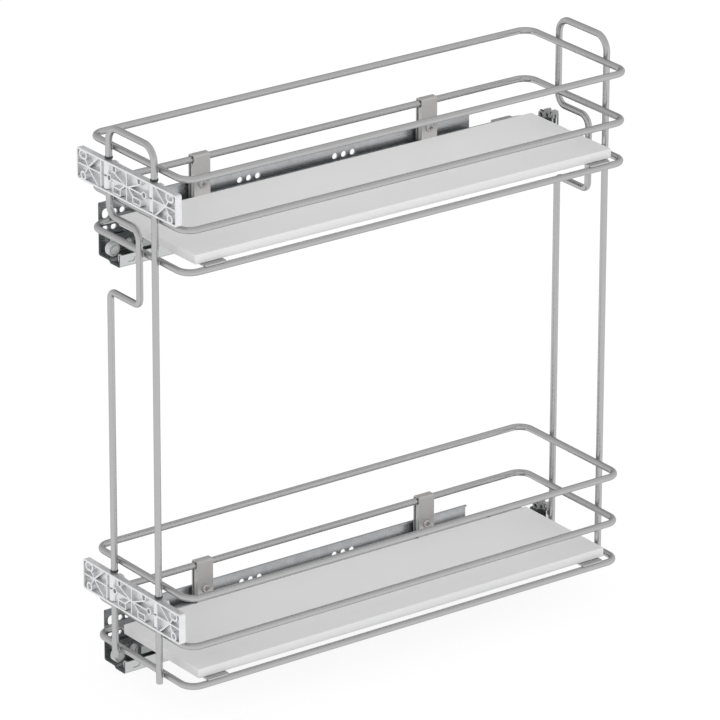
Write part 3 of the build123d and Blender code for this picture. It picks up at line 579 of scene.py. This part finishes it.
for tier in tiers:
    rail_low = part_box(tier + "_cabinet_rail")[0]
    wall_corner = rail_low + Vector((rail_wall_outside, hook_setback, rail_wall_height))
    rear_y = wall_corner.y + hook_length
    top_z = wall_corner.z + hook_crown
    leg_x = wall_corner.x - rail_wall_sheet - hook_leg_gap - hook_leg
    hook = bmesh.new()
    rounded_block(hook, Vector((leg_x, wall_corner.y, wall_corner.z - hook_leg_drop)),
                  Vector((leg_x + hook_leg, rear_y, top_z)))
    rounded_block(hook, Vector((leg_x, wall_corner.y, wall_corner.z + hook_seat_gap)),
                  Vector((wall_corner.x + hook_overhang, rear_y, top_z)))
    finished(tier + "_wall_clip", hook, roller_finish, "cabinet_side")


# Soft-close units and rear stops: acetal, moulded against a fine spark-eroded tool. The units are
# black. A stop's ring and star knob are grey acetal, and so is its clip over the bracket's ear;
# the stop's block below them is painted black, as painted shade. The black plate in front of the
# block is painted shade too; latch and the plugs of ring and knob are black and pressed on.
acetal_colour = "#2B2C2E"
acetal_rubbed = "#3A3B3D"
grey_acetal_colour = "#8B8C8C"
grey_acetal_rubbed = "#A6A7A6"
acetal_grain = 0.3 * mm  # coarser than real, so that it shows
acetal_cloud = 12.0 * mm
stop_head_height = 10.6 * mm
# Shade plate: a black sheet in front of the stop's block, painted shade under the ring and knob.
shade_plate_thickness = 1.1 * mm
shade_plate_gap = 0.1 * mm
slab_rim_bevel = 0.2 * mm
shade_plate_outline_mm = [(10.5, -4.0), (22.8, -4.0), (22.8, 3.0), (20.5, 3.2), (15.5, 2.0), (12.0, 0.3),
                    (10.5, -0.6)]
ring_x = 9.5 * mm
ring_plug = {"rise": 2.4 * mm, "radius": 2.25 * mm, "sunk": 1.4 * mm}
knob_x = 17.8 * mm
knob_plug = {"rise": 4.8 * mm, "radius": 1.7 * mm, "sunk": -0.4 * mm}
plug_thickness = 0.4 * mm
plug_sides = 20
ring_cap_low = Vector((-1.9, 0.25, 5.9)) * mm
ring_cap_high = Vector((2.2, 2.0, 6.8)) * mm
latch_low = Vector((0.05, 1.9, -9.6)) * mm
latch_high = Vector((1.3, 3.2, -1.8)) * mm
clip_thickness = 0.9 * mm
clip_seat_gap = 0.02 * mm
clip_drop = 5.4 * mm
clip_front_inset = 0.1 * mm
clip_rear_inset = 0.8 * mm
clip_bridge = 4.0 * mm


def acetal(name, grey_from=100.0):
    """Grained black acetal, which is grey above the height grey_from; on a rear stop the black below is
    painted shade.
    """
    material, place = new_material(name)
    grain = add_node(material, "ShaderNodeTexNoise",
                     {"Vector": place, "Scale": 1 / acetal_grain, "Detail": 2.0})
    cloud = add_node(material, "ShaderNodeTexNoise",
                     {"Vector": place, "Scale": 1 / acetal_cloud, "Detail": 3.0})
    black = add_node(material, "ShaderNodeMix",
                     {"Factor": cloud.outputs["Fac"], "A": linear(acetal_colour),
                      "B": linear(acetal_rubbed)}, data_type="RGBA")
    grey = add_node(material, "ShaderNodeMix",
                    {"Factor": cloud.outputs["Fac"], "A": linear(grey_acetal_colour),
                     "B": linear(grey_acetal_rubbed)}, data_type="RGBA")
    height = add_node(material, "ShaderNodeSeparateXYZ", {"Vector": place})
    above = add_node(material, "ShaderNodeMath",
                     {0: height.outputs["Z"], 1: grey_from}, operation="GREATER_THAN")
    colour = add_node(material, "ShaderNodeMix",
                      {"Factor": above.outputs["Value"], "A": black.outputs["Result"],
                       "B": grey.outputs["Result"]}, data_type="RGBA")
    bump = add_node(material, "ShaderNodeBump",
                    {"Height": grain.outputs["Fac"], "Strength": 0.3, "Distance": 0.03 * mm})
    surface = add_node(material, "ShaderNodeBsdfPrincipled",
                       {"Base Color": colour.outputs["Result"], "Roughness": 0.45, "IOR": 1.48,
                        "Normal": bump.outputs["Normal"]})
    return close_material(material, surface)


def flat_slab(shape, outline, front_y, rear_y):
    """Adds a flat plate across the rack from an (x, z) outline, with a bevelled front rim."""
    centre_x = sum(x for x, z in outline) / len(outline)
    centre_z = sum(z for x, z in outline) / len(outline)
    front = [(x + math.copysign(slab_rim_bevel, centre_x - x), front_y,
              z + math.copysign(slab_rim_bevel, centre_z - z)) for x, z in outline]
    edge = [(x, front_y + slab_rim_bevel, z) for x, z in outline]
    stack(shape, [front, edge, [(x, rear_y, z) for x, z in outline]])


acetal_finish = acetal("black_acetal")
for tier in tiers:
    for part in ("damper_housing", "damper_catch"):
        dress(f"{tier}_{part}", acetal_finish)
    stop_low, stop_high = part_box(tier + "_rear_stop")
    # Below the block's top the stop is painted black: painted shade.
    block_top = stop_high.z - stop_head_height
    stop_finish_shaded_below = acetal(tier + "_acetal_painted_shade_below", grey_from=block_top)
    dress(tier + "_rear_stop", stop_finish_shaded_below)
    # Black pieces: the shade plate, which is painted shade, then the plugs, the ring's cap and the latch.
    stop_black_pieces = bmesh.new()
    flat_slab(stop_black_pieces, [(x * mm, block_top + rise * mm) for x, rise in shade_plate_outline_mm],
               stop_low.y - shade_plate_thickness, stop_low.y - shade_plate_gap)
    for x, plug in ((ring_x, ring_plug), (knob_x, knob_plug)):
        turns = [2 * math.pi * i / plug_sides for i in range(plug_sides)]
        round_plug = [(x + plug["radius"] * math.cos(turn),
                       block_top + plug["rise"] + plug["radius"] * math.sin(turn)) for turn in turns]
        plug_y = stop_low.y + plug["sunk"]
        flat_slab(stop_black_pieces, round_plug, plug_y, plug_y + plug_thickness)
    ring_foot = Vector((ring_x, stop_low.y, block_top))
    rounded_block(stop_black_pieces, ring_foot + ring_cap_low, ring_foot + ring_cap_high)
    ear_low, ear_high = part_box(tier + "_rear_bracket")
    ear_edge = Vector((ear_high.x, ear_low.y, ear_high.z))
    rounded_block(stop_black_pieces, ear_edge + latch_low, ear_edge + latch_high)
    finished(tier + "_stop_shade_plate_and_black_bits", stop_black_pieces, acetal_finish, "cabinet_side", smooth=False)
    clip = bmesh.new()
    clip_front_y = ear_low.y + clip_front_inset
    clip_rear_y = ear_high.y - clip_rear_inset
    clip_top_z = ear_high.z + clip_thickness
    rounded_block(clip, Vector((ear_high.x + clip_seat_gap, clip_front_y, ear_high.z - clip_drop)),
                  Vector((ear_high.x + clip_thickness, clip_rear_y, clip_top_z)))
    rounded_block(clip, Vector((ear_high.x - clip_bridge, clip_front_y, ear_high.z + clip_seat_gap)),
                  Vector((ear_high.x + clip_thickness / 2, clip_rear_y, clip_top_z)))
    finished(tier + "_stop_clip", clip, stop_finish_shaded_below, "cabinet_side")


# Leg sleeves: short tubes of black acetal on the front legs, just above and below each door
# bracket.
sleeve_leg_gap = 0.06 * mm
sleeve_bracket_gap = 0.1 * mm
sleeve_bore = wire_radius + sleeve_leg_gap
sleeve_radius = 3.35 * mm
sleeve_height = 1.9 * mm
sleeve_edge = 0.25 * mm
front_leg_y = -213.5 * mm


def leg_sleeve(shape, x, y, low_z):
    """Adds one upright tube with rounded rims."""
    turns = 28
    section = [
        (sleeve_bore, 0.0),
        (sleeve_radius - sleeve_edge, 0.0),
        (sleeve_radius, sleeve_edge),
        (sleeve_radius, sleeve_height - sleeve_edge),
        (sleeve_radius - sleeve_edge, sleeve_height),
        (sleeve_bore, sleeve_height),
    ]
    rings = []
    for turn in range(turns):
        angle = 2 * math.pi * turn / turns
        rings.append([(x + out * math.cos(angle), y + out * math.sin(angle), low_z + rise)
                      for out, rise in section])
    stack(shape, rings, close_ends=False)


for tier in tiers:
    bracket_low, bracket_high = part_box(tier + "_door_bracket")
    sleeves = bmesh.new()
    for x in (inner_leg_x, outer_leg_x):
        leg_sleeve(sleeves, x, front_leg_y, bracket_high.z + sleeve_bracket_gap)
        leg_sleeve(sleeves, x, front_leg_y, bracket_low.z - sleeve_height - sleeve_bracket_gap)
    finished(tier + "_leg_sleeves", sleeves, acetal_finish, "rack")


# Screws of the boards and clamps: steel, bright zinc plated in a barrel, so the heads are
# glossy and cool with small knocks.
plate_light = "#BDBEC0"
plate_dark = "#A6A8AA"
plate_knock = 0.9 * mm


def zinc_plate():
    material, place = new_material("bright_zinc_plate")
    knocks = add_node(material, "ShaderNodeTexNoise",
                      {"Vector": place, "Scale": 1 / plate_knock, "Detail": 2.0})
    colour = add_node(material, "ShaderNodeMix",
                      {"Factor": knocks.outputs["Fac"], "A": linear(plate_dark), "B": linear(plate_light)},
                      data_type="RGBA")
    bump = add_node(material, "ShaderNodeBump",
                    {"Height": knocks.outputs["Fac"], "Strength": 0.2, "Distance": 0.03 * mm})
    surface = add_node(material, "ShaderNodeBsdfPrincipled",
                       {"Base Color": colour.outputs["Result"], "Metallic": 1.0, "Roughness": 0.22,
                        "Normal": bump.outputs["Normal"]})
    return close_material(material, surface)


screw_finish = zinc_plate()
for part in ("board_screws", "clamp_screws"):
    dress(part, screw_finish)


# Rivets of the rollers: cold-formed steel with a baked zinc flake coat, which is pale, matt
# and a little powdery, nearly as light as the nylon that the heads hold.
flake_light = "#DEDFDE"
flake_dark = "#CBCDCC"
flake_grit = 0.4 * mm  # coarser than real, so that it shows


def zinc_flake():
    material, place = new_material("zinc_flake_coat")
    grit = add_node(material, "ShaderNodeTexNoise",
                    {"Vector": place, "Scale": 1 / flake_grit, "Detail": 3.0})
    colour = add_node(material, "ShaderNodeMix",
                      {"Factor": grit.outputs["Fac"], "A": linear(flake_dark), "B": linear(flake_light)},
                      data_type="RGBA")
    bump = add_node(material, "ShaderNodeBump",
                    {"Height": grit.outputs["Fac"], "Strength": 0.25, "Distance": 0.02 * mm})
    surface = add_node(material, "ShaderNodeBsdfPrincipled",
                       {"Base Color": colour.outputs["Result"], "Metallic": 0.25, "Roughness": 0.55,
                        "Normal": bump.outputs["Normal"]})
    return close_material(material, surface)


rivet_finish = zinc_flake()
for part in ("cabinet_roller_pins", "drawer_roller_pins", "upper_middle_pins", "lower_middle_pins"):
    dress(part, rivet_finish)


# Studio: a plain white floor under the rack and a white surround, both seen as white by
# the camera, while the floor keeps a soft shadow. In the metal the surround is shaded
# towards the ceiling, the cabinet side and the corner between them.
floor_half_size = 9.0
floor_gap = 0.3 * mm
floor_paint = 0.9
floor_lit = 0.8
shadow_share = 0.12
plain_white = (1.0, 1.0, 1.0, 1.0)
surround_strength = 0.88
ceiling_shade = 0.2
cabinet_side_shade = 0.12
corner_shade = 0.18
corner_way = Vector((-0.79, 0.50, 0.36)).normalized()
softboxes = {
    "key_softbox": {"azimuth": 80, "elevation": 28, "away": 2.4, "size": 1.8, "power": 14.0},
    "front_softbox": {"azimuth": 5, "elevation": 25, "away": 2.4, "size": 1.2, "power": 5.0},
    "rear_softbox": {"azimuth": 200, "elevation": 35, "away": 2.4, "size": 1.2, "power": 5.0},
}


def studio_white():
    """Floor finish: mostly plain white where it is looked at, ordinary matt paint for light."""
    material = bpy.data.materials.new("studio_white")
    material.use_nodes = True
    material.node_tree.nodes.clear()
    path = add_node(material, "ShaderNodeLightPath", {})
    seen = add_node(material, "ShaderNodeMath",
                    {0: path.outputs["Is Camera Ray"], 1: path.outputs["Is Glossy Ray"]},
                    operation="MAXIMUM")
    looked_at = add_node(material, "ShaderNodeMath",
                         {0: seen.outputs["Value"], 1: path.outputs["Is Transmission Ray"]},
                         operation="MAXIMUM")
    share = add_node(material, "ShaderNodeMath",
                     {0: looked_at.outputs["Value"], 1: 1 - shadow_share}, operation="MULTIPLY")
    paint = add_node(material, "ShaderNodeBsdfDiffuse",
                     {"Color": (floor_paint, floor_paint, floor_paint, 1.0)})
    glow = (1 - shadow_share * floor_lit) / (1 - shadow_share)
    white = add_node(material, "ShaderNodeEmission", {"Color": plain_white, "Strength": glow})
    mix = add_node(material, "ShaderNodeMixShader",
                   {0: share.outputs["Value"], 1: paint.outputs["BSDF"], 2: white.outputs["Emission"]})
    add_node(material, "ShaderNodeOutputMaterial", {"Surface": mix.outputs["Shader"]})
    return material


floor_shape = bmesh.new()
bmesh.ops.create_grid(floor_shape, x_segments=1, y_segments=1, size=floor_half_size)
floor_data = bpy.data.meshes.new("studio_floor")
floor_shape.to_mesh(floor_data)
floor_shape.free()
floor_data.materials.append(studio_white())
floor = bpy.data.objects.new("studio_floor", floor_data)
floor.location.z = cad_box[0].z - floor_gap
bpy.context.scene.collection.objects.link(floor)

scene = bpy.context.scene
scene.view_settings.view_transform = "Standard"
world = bpy.data.worlds.new("studio_surround")
world.use_nodes = True
world.node_tree.nodes.clear()
scene.world = world
way = add_node(world, "ShaderNodeTexCoord", {}).outputs["Generated"]
axes = add_node(world, "ShaderNodeSeparateXYZ", {"Vector": way})
corner = add_node(world, "ShaderNodeVectorMath", {0: way, 1: corner_way}, operation="DOT_PRODUCT")
# Each row: how far a mirrored ray points that way, where its shade starts, where it is full and
# how deep it is.
shades = [
    (axes.outputs["Z"], 0.0, 0.6, ceiling_shade),
    (axes.outputs["X"], 0.0, -0.75, cabinet_side_shade),
    (corner.outputs["Value"], 0.88, 1.0, corner_shade),
]
mirrored = 1.0
for pointing, start, full, shade in shades:
    taken = add_node(world, "ShaderNodeMapRange",
                     {"Value": pointing, "From Min": start, "From Max": full, "To Max": shade},
                     interpolation_type="SMOOTHSTEP")
    mirrored = add_node(world, "ShaderNodeMath", {0: mirrored, 1: taken.outputs["Result"]},
                        operation="SUBTRACT").outputs["Value"]
path = add_node(world, "ShaderNodeLightPath", {})
lighting = add_node(world, "ShaderNodeMix",
                    {"Factor": path.outputs["Is Glossy Ray"], "A": surround_strength, "B": mirrored})
looked_at = add_node(world, "ShaderNodeMath",
                     {0: path.outputs["Is Camera Ray"], 1: path.outputs["Is Transmission Ray"]},
                     operation="MAXIMUM")
strength = add_node(world, "ShaderNodeMix",
                    {"Factor": looked_at.outputs["Value"], "A": lighting.outputs["Result"], "B": 1.0})
surround = add_node(world, "ShaderNodeBackground",
                    {"Color": plain_white, "Strength": strength.outputs["Result"]})
add_node(world, "ShaderNodeOutputWorld", {"Surface": surround.outputs["Background"]})


def towards(azimuth, elevation):
    """Unit vector from the rack towards a viewer or lamp; azimuth 0 is the user's end."""
    turn = math.radians(azimuth)
    tilt = math.radians(elevation)
    return Vector((math.sin(turn) * math.cos(tilt), -math.cos(turn) * math.cos(tilt), math.sin(tilt)))


cad_middle = (cad_box[0] + cad_box[1]) / 2
for name, lamp in softboxes.items():
    light = bpy.data.lights.new(name, "AREA")
    light.size = lamp["size"]
    light.energy = lamp["power"]
    holder = bpy.data.objects.new(name, light)
    way = towards(lamp["azimuth"], lamp["elevation"])
    holder.location = cad_middle + way * lamp["away"]
    holder.visible_glossy = False
    holder.rotation_mode = "QUATERNION"
    holder.rotation_quaternion = (-way).to_track_quat("-Z", "Y")
    scene.collection.objects.link(holder)


# Camera: a long lens from the basket's open side, the user's end on the left, as the
# photograph looks at the rack.
view_azimuth = 53.80
view_elevation = 22.15
view_roll = -0.16
view_distance = 5.08209
aim_right = 0.05354
aim_up = -0.16004
image_width_px = 720
focal_px = 6174.24

camera_data = bpy.data.cameras.new("photo_camera")
camera_data.sensor_width = 36.0
camera_data.lens = camera_data.sensor_width * focal_px / image_width_px
camera_data.clip_start = 0.1
camera_data.clip_end = 50.0
camera = bpy.data.objects.new("photo_camera", camera_data)
back = towards(view_azimuth, view_elevation)
right = towards(view_azimuth + 90, 0)
up = back.cross(right)
turned = Matrix((right, up, back)).transposed().to_4x4() @ Matrix.Rotation(math.radians(-view_roll), 4, "Z")
aim = right * aim_right + up * aim_up
camera.matrix_world = Matrix.Translation(aim + back * view_distance) @ turned
scene.collection.objects.link(camera)
scene.camera = camera
